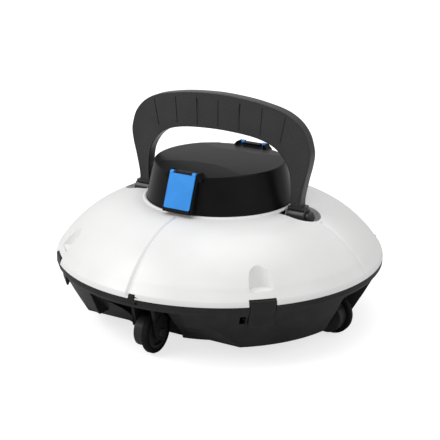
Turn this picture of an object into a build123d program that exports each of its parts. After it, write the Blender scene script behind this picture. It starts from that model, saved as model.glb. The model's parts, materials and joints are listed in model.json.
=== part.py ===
import os
from math import cos, hypot, radians, sin, tan

from build123d import *

# All sizes are in millimetres. The floor is z = 0, the outlets face along Y
# and the handle lies along X.

# White dome
rim_radius = 180.0
rim_z = 72.0
dome_wall = 3.0
dome_outline = [
    (82.0, 133.0),
    (100.0, 131.4),
    (120.0, 126.0),
    (140.0, 115.6),
    (155.0, 104.2),
    (168.0, 91.0),
    (173.2, 84.2),
    (178.6, 77.0),
]
groove_width = 2.6
groove_depth = 1.2
neck_inner_radius = 77.0
neck_outer_radius = 83.4
neck_low_z = 112.0
collar_top_z = 134.2
deck_ledge_radius = 65.0
pocket_half_width = 21.0
pocket_inner_x = 84.0
pocket_centre_x = 100.0

# Finger scoops and spring clips on the four diagonals
scoop_radius = 12.0
scoop_centre = 165.0
scoop_floor_z = 85.0
scoop_wall = 3.0
clip_width = 26.6
clip_gap = 0.4
clip_top_z = 78.0
notch_top_z = 78.8
clip_pivot_radius = 165.6
clip_pivot_z = 55.0
clip_pivot_pin = 1.8
clip_slot_z = 51.2

# Hub cover
hub_low_z = 133.0
hub_low_radius = 80.7
hub_edge_z = 174.0
hub_edge_radius = 71.9
hub_top_z = 177.0
hub_wall = 3.0
hub_roof = 5.0
facet_chord = 32.0
facet_slope = 0.09
hub_screw_angles = [20.0, 160.0, 200.0, 340.0]
hub_screw_circle = 70.5

# Outlet windows in the hub and their flaps
flap_lean = tan(radians(20.5))
flap_half_width = 15.7
flap_low_z = 140.9
flap_plate_top_z = 172.6
flap_tab_x = 11.2
flap_stand = 1.0
flap_thickness = 2.8
flap_hinge_z = 175.4
flap_pin_radius = 1.2
flap_room = 0.4
frame_half_width = 18.0
frame_low_z = 136.6
frame_top_z = 174.6
frame_front_y = 89.4
frame_back_y = 66.0
recess_depth = 2.3
window_half_width = 12.5
window_low_z = 143.5
window_top_z = 170.0

# Pumps
pump_axis_z = 152.5
duct_bore = 15.6
duct_wall = 1.6
motor_radius = 13.5
shaft_radius = 1.6
impeller_radius = 14.8
duct_mouth_half_height = 15.0
motor_house_top_z = 169.4

# Handle
handle_thickness = 13.0
handle_pivot_z = 126.5
barrel_radius = 9.6
barrel_inner_x = 86.5
barrel_outer_x = 108.0
handle_pin_radius = 4.0
pin_head_radius = 6.6
pin_head_x = 105.5
pin_knob_x = 115.0
handle_outer = [
    (103.5, 126.0),
    (102.0, 143.0),
    (106.2, 165.0),
    (110.4, 181.0),
    (112.8, 195.0),
    (112.0, 204.0),
    (108.0, 217.0),
    (100.0, 228.0),
    (89.0, 236.0),
    (76.0, 241.0),
    (57.0, 245.0),
    (34.0, 248.2),
    (0.0, 250.0),
]
handle_inner = [
    (0.0, 210.7),
    (30.0, 209.5),
    (49.0, 207.0),
    (63.0, 202.6),
    (73.0, 196.4),
    (81.0, 188.0),
    (87.4, 176.0),
    (89.8, 160.0),
    (90.0, 143.0),
    (89.0, 126.0),
]
grip_groove_x = [-79.0, -53.0, -26.5, 0.0, 26.5, 53.0, 79.0]

# Base
base_low_z = 17.0
base_floor_z = 20.0
base_outline = [
    (150.5, 17.0),
    (152.5, 20.0),
    (164.0, 40.0),
    (174.0, 59.0),
    (178.6, 65.0),
    (179.6, 66.5),
    (179.6, 72.0),
]
skirt_wall = 3.0
flange_inner_radius = 168.5
bowl_radius = 104.0
bowl_wall = 3.0
flat_distance = 120.0
flat_top_distance = 165.0
flat_top_z = 62.0
flat_left_x = -70.0
ledge_start_x = 55.0
ledge_z = 45.0
tab_x = 4.7
tab_half_width = 3.7
tab_top_z = 76.4
plate_radius = 118.0
plate_low_z = 10.5
plate_screw_circle = 97.0
plate_screw_angles = [45.0, 135.0, 225.0, 315.0]

# Wheels
wheel_distance = 138.0
wheel_radius = 23.0
tyre_low_x = -2.0
tyre_high_x = 5.0
tyre_inner_radius = 17.0
drum_radius = 15.5
drum_low_x = -9.5
axle_radius = 3.0
well_slope = tan(radians(17.0))
well_roof_z = 62.0
well_inner = 108.0
fork_gap = 10.5
fork_thickness = 3.2
fork_gusset = 2.8

# Suction inlets
inlet_near_x = 28.0
inlet_far_x = 82.0
inlet_half_width = 11.0
inlet_hinge_y = 15.5
inlet_hinge_z = 23.2
inlet_pin_radius = 1.5

# Motor pod below and through the pump deck
deck_radius = 76.4
deck_low_z = 128.0
deck_top_z = 131.0
pod_half_x = 47.0
pod_half_y = 40.0
pod_low_z = 84.0
pod_wall = 3.0
seal_height = 1.5
cell_radius = 9.2
cell_length = 65.0

# Control panel on the hub's rear left
panel_angle = 135.0
panel_face = 77.6
panel_back = 60.0
panel_half_width = 21.0
panel_low_z = 141.0
panel_top_z = 163.0
panel_mid_z = 152.0
button_radius = 5.95
socket_radius = 4.0


def slab(x_low, x_high, y_low, y_high, z_low, z_high):
    middle = ((x_low + x_high) / 2, (y_low + y_high) / 2, (z_low + z_high) / 2)
    return Pos(*middle) * Box(x_high - x_low, y_high - y_low, z_high - z_low)


def drum(radius, z_low, z_high, x=0.0, y=0.0):
    return Pos(x, y, (z_low + z_high) / 2) * Cylinder(radius, z_high - z_low)


def ring(outer_radius, inner_radius, z_low, z_high):
    hole = drum(inner_radius, z_low - 1, z_high + 1)
    return drum(outer_radius, z_low, z_high) - hole


def rod_x(radius, x_low, x_high, y, z):
    return Pos((x_low + x_high) / 2, y, z) * Rot(0, 90, 0) * Cylinder(radius, x_high - x_low)


def rod_y(radius, y_low, y_high, x, z):
    return Pos(x, (y_low + y_high) / 2, z) * Rot(90, 0, 0) * Cylinder(radius, y_high - y_low)


def turned(points):
    outline = Polyline(*[(r, 0, z) for r, z in points], close=True)
    return revolve(make_face(outline), Axis.Z)


def prism_x(points, x_low, x_high):
    outline = Polyline(*[(x_low, y, z) for y, z in points], close=True)
    return extrude(make_face(outline), amount=x_high - x_low, dir=(1, 0, 0))


def prism_y(points, y_low, y_high):
    outline = Polyline(*[(x, y_low, z) for x, z in points], close=True)
    return extrude(make_face(outline), amount=y_high - y_low, dir=(0, 1, 0))


def inward(points, distance):
    moved = []
    last = len(points) - 1
    for i, (r, z) in enumerate(points):
        before = points[max(i - 1, 0)]
        after = points[min(i + 1, last)]
        run = after[0] - before[0]
        fall = after[1] - before[1]
        length = hypot(run, fall)
        moved.append((r + fall / length * distance, z - run / length * distance))
    return moved


# White upper shell

def dome_body(depth, z_low):
    outline = inward(dome_outline, depth)
    first = outline[0]
    lip = rim_radius - depth
    curve = Spline(*[(r, 0, z) for r, z in outline])
    corners = [outline[-1], (lip, rim_z), (lip, z_low), (0.0, z_low), (0.0, first[1]), first]
    if z_low == rim_z:
        corners.pop(1)
    sides = Polyline(*[(r, 0, z) for r, z in corners])
    return revolve(make_face(curve + sides), Axis.Z)


def groove_cutter():
    blade = dome_body(-3.0, 60.0) - dome_body(groove_depth, 60.0)
    lane = slab(88.0, 190.0, -groove_width / 2, groove_width / 2, rim_z - 2, 150.0)
    return blade & lane


def scoop_prism(growth, z_low):
    half = scoop_radius + growth
    straight = slab(scoop_centre, 190.0, -half, half, z_low, 140.0)
    return straight + drum(half, z_low, 140.0, scoop_centre, 0.0)


def pocket_prism(growth, z_low):
    half = pocket_half_width + growth
    straight = slab(pocket_inner_x - growth, pocket_centre_x, -half, half, z_low, 150.0)
    outer_end = slab(pocket_centre_x - 1, 150.0, -half, half, z_low, 150.0)
    return straight + (drum(half, z_low, 150.0, pocket_centre_x, 0.0) & outer_end)


def rim_tab(growth):
    half = tab_half_width + growth
    tab = slab(173.0 - growth, 185.0, tab_x - half, tab_x + half, 70.0, tab_top_z + growth)
    tab = fillet(tab.edges().filter_by(Axis.X).group_by(Axis.Z)[-1], 1.5)
    return tab & drum(rim_radius - 0.6 + 10 * growth, 60.0, 90.0)


def upper_dome():
    filled = dome_body(0.0, rim_z)
    shell = filled - dome_body(dome_wall, rim_z - 5) - drum(neck_inner_radius, 60.0, 150.0)
    shell += ring(neck_outer_radius, neck_inner_radius, neck_low_z, 132.8)
    shell += ring(neck_outer_radius, hub_low_radius + 0.3, 130.0, collar_top_z)
    shell += ring(neck_inner_radius + 1, deck_ledge_radius, deck_low_z - 3.5, deck_low_z - 0.1)
    for side in (0, 180):
        shell += Rot(0, 0, side) * (pocket_prism(dome_wall, 110.5) & filled)
    for side in (45, 135, 225, 315):
        liner = scoop_prism(scoop_wall, scoop_floor_z - scoop_wall) & filled
        back = slab(163.5, 167.0, -17.5, 17.5, rim_z, scoop_floor_z)
        shell += Rot(0, 0, side) * (liner + back)
    for side in (0, 180):
        shell -= Rot(0, 0, side) * pocket_prism(0.0, 113.5)
        boss = rod_x(9.0, 81.4, 86.2, 0.0, handle_pivot_z)
        hole = rod_x(handle_pin_radius, 77.1, 90.0, 0.0, handle_pivot_z)
        shell += Rot(0, 0, side) * boss
        shell -= Rot(0, 0, side) * hole
    half_notch = clip_width / 2 + 0.8
    for side in (45, 135, 225, 315):
        scoop = scoop_prism(0.0, scoop_floor_z)
        notch = slab(167.0, 190.0, -half_notch, half_notch, rim_z - 2, notch_top_z)
        catch = slab(166.5, 171.2, -9.0, 9.0, 73.0, 75.4)
        shell -= Rot(0, 0, side) * (scoop + notch)
        shell += Rot(0, 0, side) * catch
    groove = groove_cutter()
    for side in (0, 90, 180, 270):
        shell -= Rot(0, 0, side) * groove
    for side in (90, 270):
        shell -= Rot(0, 0, side) * rim_tab(0.4)
    for angle in hub_screw_angles:
        x = hub_screw_circle * cos(radians(angle))
        y = hub_screw_circle * sin(radians(angle))
        shell -= drum(2.3, 120.0, 130.0, x, y)
    return shell


# Black hub cover

def hub_body(depth, roof):
    base_radius = hub_low_radius - depth
    edge_radius = hub_edge_radius - depth
    edge_z = hub_edge_z - roof
    top_z = hub_top_z - roof
    crown = ThreePointArc(
        (edge_radius - 1.4, 0, edge_z + 1.3),
        (edge_radius * 0.6, 0, top_z - 0.5),
        (14.0, 0, top_z),
    )
    sides = Polyline(
        (14.0, 0, top_z),
        (0, 0, top_z),
        (0, 0, hub_low_z),
        (base_radius, 0, hub_low_z),
        (edge_radius, 0, edge_z),
        (edge_radius - 1.4, 0, edge_z + 1.3),
    )
    return revolve(make_face(crown + sides), Axis.Z)


def front_y(z):
    return -(frame_front_y - (z - frame_low_z) * flap_lean)


flap_hinge_y = front_y(flap_hinge_z) + 1.2


def facet_cutter():
    start_z = hub_top_z - 0.33
    reach = 100.0 - facet_chord
    outline = [
        (-facet_chord, start_z),
        (-100.0, start_z - facet_slope * reach),
        (-100.0, 200.0),
        (-facet_chord, 200.0),
    ]
    return prism_x(outline, -90.0, 90.0)


def outlet_frame():
    return prism_x(
        [
            (front_y(frame_low_z), frame_low_z),
            (front_y(frame_top_z), frame_top_z),
            (-frame_back_y, frame_top_z),
            (-frame_back_y, frame_low_z),
        ],
        -frame_half_width,
        frame_half_width,
    )


def outlet_recess():
    half = flap_half_width + flap_room
    low_z = flap_low_z - flap_room
    recess = prism_x(
        [
            (-110.0, low_z),
            (front_y(low_z) + recess_depth, low_z),
            (front_y(190.0) + recess_depth, 190.0),
            (-110.0, 190.0),
        ],
        -half,
        half,
    )
    window = slab(-window_half_width, window_half_width, -100.0, -50.0, window_low_z, window_top_z)
    relief = rod_x(3.2, -half, half, flap_hinge_y, flap_hinge_z)
    return recess + window + relief


def outlet_knuckle():
    half = flap_tab_x - flap_room
    barrel = rod_x(2.7, -half, half, flap_hinge_y, flap_hinge_z)
    web = slab(-half, half, flap_hinge_y, -frame_back_y, flap_hinge_z - 2.4, flap_hinge_z + 0.6)
    return barrel + web


def panel_place(shape):
    return Rot(0, 0, panel_angle) * shape


def hub_cover():
    solid = hub_body(0.0, 0.0)
    facets = [facet_cutter(), Rot(0, 0, 180) * facet_cutter()]
    shell = solid - facets - hub_body(hub_wall, hub_roof)
    for angle in hub_screw_angles:
        x = hub_screw_circle * cos(radians(angle))
        y = hub_screw_circle * sin(radians(angle))
        shell += drum(4.2, deck_top_z, 150.0, x, y)
    for side in (0, 180):
        shell += Rot(0, 0, side) * outlet_frame()
    for side in (0, 180):
        shell -= Rot(0, 0, side) * outlet_recess()
        shell += Rot(0, 0, side) * outlet_knuckle()
        pin_hole = rod_x(flap_pin_radius, -30.0, 30.0, flap_hinge_y, flap_hinge_z)
        shell -= Rot(0, 0, side) * pin_hole
    window = slab(
        panel_back - 5,
        95.0,
        -panel_half_width - 0.05,
        panel_half_width + 0.05,
        panel_low_z - 0.05,
        panel_top_z + 0.05,
    )
    shell -= panel_place(window)
    for angle in hub_screw_angles:
        x = hub_screw_circle * cos(radians(angle))
        y = hub_screw_circle * sin(radians(angle))
        shell -= drum(1.8, 120.0, 144.0, x, y)
    return shell


def outlet_flap():
    front = -flap_stand
    back = front + flap_thickness
    plate = prism_x(
        [
            (front_y(flap_low_z) + front, flap_low_z),
            (front_y(flap_plate_top_z) + front, flap_plate_top_z),
            (front_y(flap_plate_top_z) + back, flap_plate_top_z),
            (front_y(flap_low_z) + back, flap_low_z),
        ],
        -flap_half_width,
        flap_half_width,
    )
    for side in (1, -1):
        x_low = min(side * flap_tab_x, side * flap_half_width)
        x_high = max(side * flap_tab_x, side * flap_half_width)
        tab = prism_x(
            [
                (front_y(flap_plate_top_z) + front, flap_plate_top_z - 1),
                (front_y(flap_hinge_z) + front, flap_hinge_z),
                (front_y(flap_hinge_z) + back, flap_hinge_z),
                (front_y(flap_plate_top_z) + back, flap_plate_top_z - 1),
            ],
            x_low,
            x_high,
        )
        knuckle = rod_x(2.7, x_low, x_high, flap_hinge_y, flap_hinge_z)
        plate += tab + knuckle
    return plate - rod_x(flap_pin_radius + 0.06, -30.0, 30.0, flap_hinge_y, flap_hinge_z)


def flap_pin():
    half = frame_half_width - 0.4
    return rod_x(flap_pin_radius, -half, half, flap_hinge_y, flap_hinge_z)


# Pumps: one behind each outlet

def outlet_duct():
    def tube(growth):
        mouth = Plane((0, -frame_back_y, pump_axis_z), x_dir=(1, 0, 0), z_dir=(0, 1, 0))
        throat = Plane((0, -56.0, pump_axis_z), x_dir=(1, 0, 0), z_dir=(0, 1, 0))
        wide = 2 * (window_half_width + growth)
        tall = 2 * (duct_mouth_half_height + growth)
        opening = mouth * RectangleRounded(wide, tall, 3.0 + growth)
        circle = throat * Circle(duct_bore + growth)
        return loft([opening, circle]) + rod_y(duct_bore + growth, -56.0, -44.0, 0, pump_axis_z)
    foot = slab(-9.0, 9.0, -58.0, -46.0, deck_top_z, pump_axis_z - duct_bore - 0.5)
    return tube(duct_wall) + foot - tube(0.0)


def impeller():
    hub = rod_y(5.0, -55.5, -46.5, 0, pump_axis_z)
    nose = Pos(0, -55.5, pump_axis_z) * Sphere(5.0) & slab(-9, 9, -61.0, -55.5, 135.0, 170.0)
    wheel = hub + nose
    for k in range(4):
        blade = Pos(0, -51.0, pump_axis_z) * Rot(0, 90 * k, 0) * Pos(0, 0, 9.6)
        wheel += blade * Rot(0, 0, 35) * Box(1.6, 9.0, 12.0)
    wheel = wheel & rod_y(impeller_radius, -62.0, -40.0, 0, pump_axis_z)
    return wheel - rod_y(shaft_radius, -54.0, -40.0, 0, pump_axis_z)


def motor_shaft():
    return rod_y(shaft_radius, -54.0, -33.2, 0, pump_axis_z)


def pump_motor():
    can = rod_y(motor_radius, -31.5, -4.0, 0, pump_axis_z)
    nose = rod_y(5.0, -32.6, -31.5, 0, pump_axis_z)
    low_z = pump_axis_z - 3.5
    high_z = pump_axis_z + 3.5
    terminals = slab(-6.0, -4.0, -4.0, -1.0, low_z, high_z) + slab(4.0, 6.0, -4.0, -1.0, low_z, high_z)
    return can + nose + terminals


# Sealed pod with the battery and the electronics

def pump_deck():
    plate = drum(deck_radius, deck_low_z, deck_top_z)
    for side in (1, -1):
        for end in (1, -1):
            slot = slab(-12.0, 12.0, -5.0, 5.0, deck_low_z - 1, deck_top_z + 1)
            plate -= Pos(side * 34.0, end * 51.0, 0) * slot
    house = slab(-17.5, 17.5, -36.0, 36.0, deck_top_z - 1, motor_house_top_z)
    house = fillet(house.edges().filter_by(Axis.Y).group_by(Axis.Z)[-1], 6.0)
    rooms = slab(-14.5, 14.5, -32.8, 32.8, deck_low_z - 1, pump_axis_z)
    rooms += rod_y(motor_radius + 0.2, -32.8, 32.8, 0, pump_axis_z)
    plate = plate + house - rooms
    plate -= rod_y(shaft_radius + 0.05, -40.0, 40.0, 0, pump_axis_z)
    for angle in hub_screw_angles:
        x = hub_screw_circle * cos(radians(angle))
        y = hub_screw_circle * sin(radians(angle))
        plate -= drum(2.3, 120.0, 140.0, x, y)
    return plate


def pod_case():
    top_z = deck_low_z - seal_height
    outer = slab(-pod_half_x, pod_half_x, -pod_half_y, pod_half_y, pod_low_z, top_z)
    outer = fillet(outer.edges().filter_by(Axis.Z), 9.0)
    outer = chamfer(outer.faces().sort_by(Axis.Z)[0].edges(), 2.0)
    inner = slab(
        -pod_half_x + pod_wall,
        pod_half_x - pod_wall,
        -pod_half_y + pod_wall,
        pod_half_y - pod_wall,
        pod_low_z + pod_wall,
        top_z + 5,
    )
    inner = fillet(inner.edges().filter_by(Axis.Z), 6.0)
    return outer - inner


def pod_seal():
    low_z = deck_low_z - seal_height
    outer = slab(-pod_half_x, pod_half_x, -pod_half_y, pod_half_y, low_z, deck_low_z)
    outer = fillet(outer.edges().filter_by(Axis.Z), 9.0)
    cut_x = pod_half_x - pod_wall
    cut_y = pod_half_y - pod_wall
    inner = slab(-cut_x, cut_x, -cut_y, cut_y, low_z - 1, deck_low_z + 1)
    return outer - fillet(inner.edges().filter_by(Axis.Z), 6.0)


cell_rows = [-20.0, 0.0, 20.0]
cell_z = pod_low_z + pod_wall + 2.0 + cell_radius


def battery_cells():
    cells = []
    for y in cell_rows:
        can = rod_x(cell_radius, -cell_length / 2, cell_length / 2 - 1.5, y, cell_z)
        cells.append(can + rod_x(3.0, cell_length / 2 - 2.0, cell_length / 2, y, cell_z))
    return Compound(children=cells)


def battery_holder():
    low_z = pod_low_z + pod_wall
    tray = slab(-35.5, 35.5, -32.0, 32.0, low_z, cell_z - 2.0)
    for y in cell_rows:
        tray -= rod_x(cell_radius + 0.3, -33.0, 33.0, y, cell_z)
    return tray


def control_board():
    low_z = 113.0
    board = slab(-42.5, 42.5, -31.0, 31.0, low_z, low_z + 1.6)
    board += slab(-30.0, -14.0, -20.0, -4.0, low_z + 1.6, low_z + 6.0)
    board += slab(8.0, 22.0, -24.0, -12.0, low_z + 1.6, low_z + 4.0)
    board += drum(5.0, low_z + 1.6, low_z + 11.0, 26.0, 14.0)
    for x in (-39.5, 39.5):
        for y in (-27.0, 27.0):
            board += drum(2.5, pod_low_z + pod_wall, low_z, x, y)
    return board


def hub_screws():
    screws = []
    for angle in hub_screw_angles:
        x = hub_screw_circle * cos(radians(angle))
        y = hub_screw_circle * sin(radians(angle))
        head = drum(4.0, 121.7, 124.5, x, y)
        slot = slab(x - 3.0, x + 3.0, y - 0.5, y + 0.5, 121.0, 122.7)
        screws.append(head - slot + drum(1.8, 124.0, 142.0, x, y))
    return Compound(children=screws)


# Control panel with button, lamp and charging socket

def panel_rod(radius, near, far, aside, z=panel_mid_z):
    return panel_place(rod_x(radius, near, far, aside, z))


def control_panel():
    block = slab(
        panel_back,
        panel_face,
        -panel_half_width,
        panel_half_width,
        panel_low_z,
        panel_top_z,
    )
    block = fillet(block.faces().sort_by(Axis.X)[-1].edges(), 1.2)
    block = panel_place(block)
    block -= panel_rod(button_radius + 0.05, 70.0, 90.0, 0.0)
    block -= panel_rod(socket_radius, 66.0, 90.0, 13.0)
    block -= panel_rod(2.5, 72.0, 90.0, -13.0)
    return block


def power_button():
    cap = rod_x(button_radius, 72.2, 79.4, 0.0, panel_mid_z)
    cap = fillet(cap.edges().sort_by(Axis.X)[-1], 0.8)
    return panel_place(cap)


def status_lens():
    lens = rod_x(2.5, 72.0, 77.9, -13.0, panel_mid_z)
    return panel_place(lens)


# Carrying handle

def handle_arch():
    outer_points = handle_outer + [(-x, z) for x, z in reversed(handle_outer[:-1])]
    inner_points = [(-x, z) for x, z in reversed(handle_inner[1:])] + handle_inner
    back = -handle_thickness / 2
    outer = Spline(*[(x, back, z) for x, z in outer_points])
    inner = Spline(*[(x, back, z) for x, z in inner_points])
    left_foot = Line(outer @ 1, inner @ 0)
    right_foot = Line(inner @ 1, outer @ 0)
    outline = make_face(outer + left_foot + inner + right_foot)
    arch = extrude(outline, amount=handle_thickness, dir=(0, 1, 0))
    return fillet(arch.edges().filter_by(GeomType.BSPLINE), 2.2)


def handle():
    body = handle_arch()
    for x in grip_groove_x:
        lean = -12.0 if x < -60 else 12.0 if x > 60 else x * 0.09
        shift = 4.5 if abs(x) > 60 else 0.0
        place = Pos(x, 0, 228.5 - abs(x) * 0.05 - shift) * Rot(0, lean, 0)
        for side in (1, -1):
            cut = Pos(0, side * handle_thickness / 2, 0) * Box(1.0, 1.0, 26.0)
            body -= place * cut
    for side in (0, 180):
        foot = rod_x(barrel_radius, barrel_inner_x, barrel_outer_x, 0.0, handle_pivot_z)
        foot = fillet(foot.edges().filter_by(GeomType.CIRCLE), 1.2)
        collar = slab(87.0, 106.0, -8.0, 8.0, 134.4, 137.4)
        collar = fillet(collar.edges().filter_by(Axis.Z), 2.5)
        body += Rot(0, 0, side) * (foot + collar)
    for side in (0, 180):
        bore = rod_x(handle_pin_radius + 0.06, 80.0, 120.0, 0.0, handle_pivot_z)
        seat = rod_x(pin_head_radius + 0.4, pin_head_x - 0.3, 120.0, 0.0, handle_pivot_z)
        body -= Rot(0, 0, side) * (bore + seat)
    return body


def handle_pin(with_knob):
    stem = rod_x(handle_pin_radius, 77.2, pin_head_x + 0.5, 0.0, handle_pivot_z)
    if with_knob:
        head = rod_x(pin_head_radius, pin_head_x, pin_knob_x, 0.0, handle_pivot_z)
        return stem + fillet(head.edges().filter_by(GeomType.CIRCLE).sort_by(Axis.X)[-1], 4.5)
    head = rod_x(pin_head_radius, pin_head_x, barrel_outer_x, 0.0, handle_pivot_z)
    slot = slab(barrel_outer_x - 1.0, 118.0, -0.6, 0.6, handle_pivot_z - 5.0, handle_pivot_z + 5.0)
    return stem + head - slot


# Black base

def skirt_body(inset):
    outline = inward(base_outline, -inset)
    low_z = base_low_z + inset
    kept = [(r, z) for r, z in outline if z > low_z]
    points = [(0.0, low_z), (kept[0][0] - 1.0, low_z)] + kept + [(0.0, kept[-1][1])]
    body = turned(points)
    slope = (flat_top_distance - flat_distance) / (flat_top_z - base_floor_z)
    foot = flat_distance - inset * hypot(1.0, slope) - base_floor_z * slope
    ledge = ledge_z + inset
    left = flat_left_x - inset
    middle = ledge_start_x + inset
    for side in (90, 270):
        for top_z, low, high in ((flat_top_z, left, middle), (ledge, middle - 1.0, 150.0)):
            outline = [(foot, 0.0), (foot + top_z * slope, top_z), (400.0, top_z), (400.0, 0.0)]
            body -= Rot(0, 0, side) * prism_y(outline, low, high)
    return body


def wheel_wells(growth):
    near = well_inner - growth
    far = 220.0
    near_half = near * well_slope + growth
    far_half = far * well_slope + growth
    outline = Polyline(
        (near, -near_half),
        (far, -far_half),
        (far, far_half),
        (near, near_half),
        close=True,
    )
    well = extrude(make_face(outline), amount=well_roof_z + growth, dir=(0, 0, 1))
    return [Rot(0, 0, side) * well for side in (0, 90, 180, 270)]


def fork_arm(at):
    slice_plane = Plane((at, -wheel_distance, 0), x_dir=(0, 1, 0), z_dir=(1, 0, 0))
    boss = Pos(0, wheel_radius) * Circle(8.5)
    root = Pos(2.0, well_roof_z) * Rectangle(38.0, 2.0)
    outline = make_hull(boss.edges() + root.edges())
    return extrude(slice_plane * outline, amount=fork_thickness)


def fork_pair():
    pair = fork_arm(fork_gap) + fork_arm(-fork_gap - fork_thickness)
    face = fork_gap + fork_thickness
    for side in (1, -1):
        outline = [(face - 1, 30.0), (face, 30.0), (face + fork_gusset, well_roof_z), (face - 1, well_roof_z)]
        gusset = prism_y([(side * x, z) for x, z in outline], -wheel_distance - 13.0, -wheel_distance + 12.0)
        pair += gusset
    return pair


def wheel_places():
    return {
        "front": Rot(0, 0, 0),
        "right": Rot(0, 0, 90),
        "rear": Rot(0, 0, 180),
        "left": Rot(0, 0, 270),
    }


def inlet_cut():
    return slab(inlet_near_x, inlet_far_x, -inlet_half_width, inlet_half_width, 0.0, base_floor_z + 1)


def base_shell():
    shell = skirt_body(0.0)
    room = skirt_body(skirt_wall) - wheel_wells(skirt_wall)
    room += skirt_body(skirt_wall) & ring(flange_inner_radius, 160.0, 60.0, 70.0)
    room = room & drum(flange_inner_radius, base_floor_z, 100.0)
    room += ring(flange_inner_radius, bowl_radius + bowl_wall, 66.0, 75.0)
    room -= ring(bowl_radius + bowl_wall, bowl_radius, 0.0, 66.0)
    shell -= wheel_wells(0.0)
    shell -= room
    shell -= drum(bowl_radius, base_floor_z, 100.0)
    shell += ring(bowl_radius + 1, 99.5, 56.0, 61.0)
    shell += ring(173.0, 170.0, 71.0, 76.0)
    for place in wheel_places().values():
        shell += place * fork_pair()
    for side in (45, 135, 225, 315):
        half = clip_width / 2 + clip_gap
        slot = slab(168.0, 190.0, -half, half, clip_slot_z, 90.0)
        gap = slab(160.0, 190.0, -18.6, 18.6, rim_z, 90.0)
        behind = slab(161.0, 176.0, -half, half, clip_slot_z, 90.0)
        shell -= Rot(0, 0, side) * (slot + gap + behind)
        for end in (1, -1):
            lug = Pos(clip_pivot_radius, end * 16.4, clip_pivot_z) * Rot(90, 0, 0) * Cylinder(3.4, 5.0)
            shell += Rot(0, 0, side) * lug
        hole = rod_y(clip_pivot_pin + 0.06, -17.6, 17.6, clip_pivot_radius, clip_pivot_z)
        shell -= Rot(0, 0, side) * hole
    for side in (90, 270):
        shell += Rot(0, 0, side) * rim_tab(0.0)
    for side in (0, 180):
        shell -= Rot(0, 0, side) * inlet_cut()
        for x in (21.8, 85.0):
            post = slab(x, x + 3.2, inlet_hinge_y - 4.0, inlet_hinge_y + 4.0, base_floor_z - 1, 26.5)
            shell += Rot(0, 0, side) * post
        pin_hole = rod_x(inlet_pin_radius, 20.0, 90.0, inlet_hinge_y, inlet_hinge_z)
        shell -= Rot(0, 0, side) * pin_hole
    for angle in plate_screw_angles:
        x = plate_screw_circle * cos(radians(angle))
        y = plate_screw_circle * sin(radians(angle))
        shell += drum(4.5, base_floor_z - 1, 32.0, x, y)
        shell -= drum(1.8, 10.0, 30.0, x, y)
    for place in wheel_places().values():
        shell -= place * rod_x(axle_radius, -30.0, 30.0, -wheel_distance, wheel_radius)
    return shell


def bottom_plate():
    plate = drum(plate_radius, plate_low_z, base_low_z)
    plate = chamfer(plate.edges().group_by(Axis.Z)[0], 2.5)
    plate -= wheel_wells(0.0)
    for side in (0, 180):
        mouth = slab(
            inlet_near_x - 4,
            inlet_far_x + 4,
            -inlet_half_width - 4,
            inlet_half_width + 4,
            0.0,
            plate_low_z + 3.0,
        )
        plate -= Rot(0, 0, side) * (inlet_cut() + mouth)
    for angle in plate_screw_angles:
        x = plate_screw_circle * cos(radians(angle))
        y = plate_screw_circle * sin(radians(angle))
        plate -= drum(2.3, 0.0, 20.0, x, y) + drum(4.4, 0.0, plate_low_z + 3.2, x, y)
    return plate


def plate_screws():
    screws = []
    for angle in plate_screw_angles:
        x = plate_screw_circle * cos(radians(angle))
        y = plate_screw_circle * sin(radians(angle))
        head = drum(4.0, plate_low_z + 0.4, plate_low_z + 3.2, x, y)
        slot = slab(x - 3.0, x + 3.0, y - 0.5, y + 0.5, 0.0, plate_low_z + 1.4)
        screws.append(head - slot + drum(1.8, plate_low_z + 3.0, 29.0, x, y))
    return Compound(children=screws)


def inlet_flap():
    low_z = base_floor_z + 0.15
    plate = slab(25.4, 84.6, -14.5, inlet_hinge_y, low_z, low_z + 2.0)
    for x in (30.0, 46.0, 62.0, 78.0):
        plate += slab(x, x + 1.6, -12.0, inlet_hinge_y, low_z + 1.5, low_z + 3.4)
    plate += rod_x(3.0, 25.4, 84.6, inlet_hinge_y, inlet_hinge_z)
    return plate - rod_x(inlet_pin_radius + 0.06, 20.0, 90.0, inlet_hinge_y, inlet_hinge_z)


def inlet_pin():
    return rod_x(inlet_pin_radius, 21.8, 88.2, inlet_hinge_y, inlet_hinge_z)


def filter_frame():
    frame = ring(103.4, 94.0, 61.0, 65.0)
    frame += ring(26.0, 18.0, 61.0, 65.0)
    for angle in range(0, 360, 45):
        spoke = slab(20.0, 98.0, -2.0, 2.0, 61.0, 65.0)
        frame += Rot(0, 0, angle) * spoke
    frame += drum(18.5, 63.0, 65.0)
    return frame


def filter_mesh():
    return drum(101.0, 65.0, 65.6)


def rim_clip():
    half = clip_width / 2
    outline = [
        (163.6, 53.4),
        (169.4, 52.2),
        (173.6, 59.0),
        (178.2, 65.0),
        (179.2, 66.5),
        (179.2, clip_top_z - 1.0),
        (178.0, clip_top_z),
        (171.4, clip_top_z - 1.0),
        (170.2, 76.0),
        (176.0, 76.0),
        (176.0, 67.5),
        (170.6, 60.0),
        (167.6, 57.2),
        (163.6, 57.0),
    ]
    tongue = prism_y(outline, -half, half)
    return tongue + rod_y(clip_pivot_pin, -17.2, 17.2, clip_pivot_radius, clip_pivot_z)


# Wheels

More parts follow.
